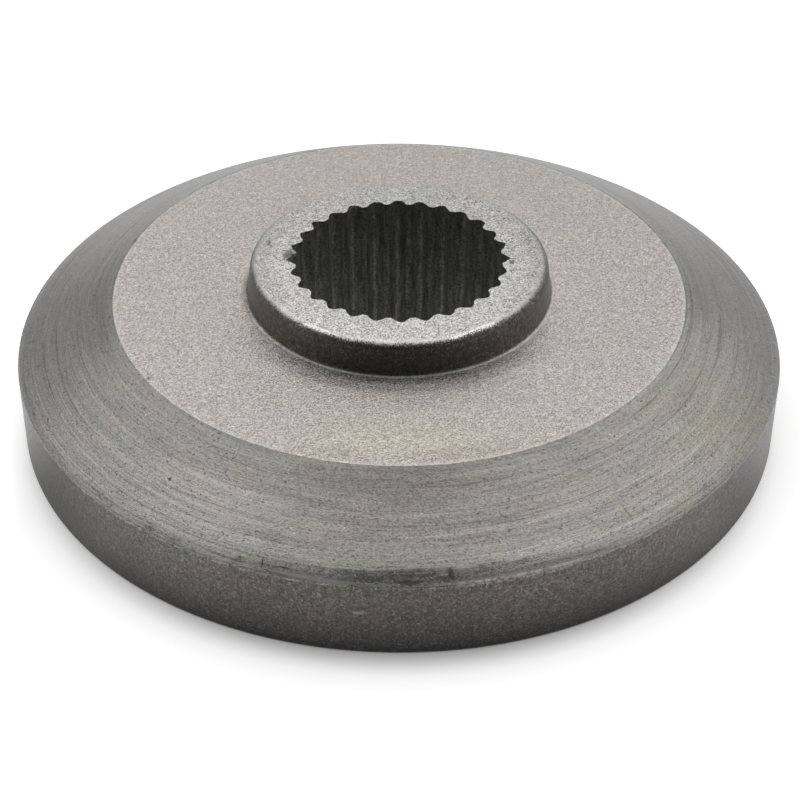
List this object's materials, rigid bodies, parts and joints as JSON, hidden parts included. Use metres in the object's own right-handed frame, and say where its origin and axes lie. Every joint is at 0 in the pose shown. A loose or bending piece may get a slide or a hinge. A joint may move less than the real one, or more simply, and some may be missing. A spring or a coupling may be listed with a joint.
{
  "type": "mower blade adapter",
  "caption": "Thick round adapter disc with a turned bevel round a flat land, a low raised hub and a splined through bore.",
  "frame": {"origin": "centre of the flat underside, on the bore's axis", "axes": "+Z along the bore's axis, from the flat underside towards the hub"},
  "size_m": [0.0804, 0.0804, 0.0176],
  "materials": {
    "sintered_steel": "grainy as-sintered faces with a turned bevel"
  },
  "bodies": {
    "root": {"blade_adapter": "sintered_steel"}
  },
  "joints": []
}
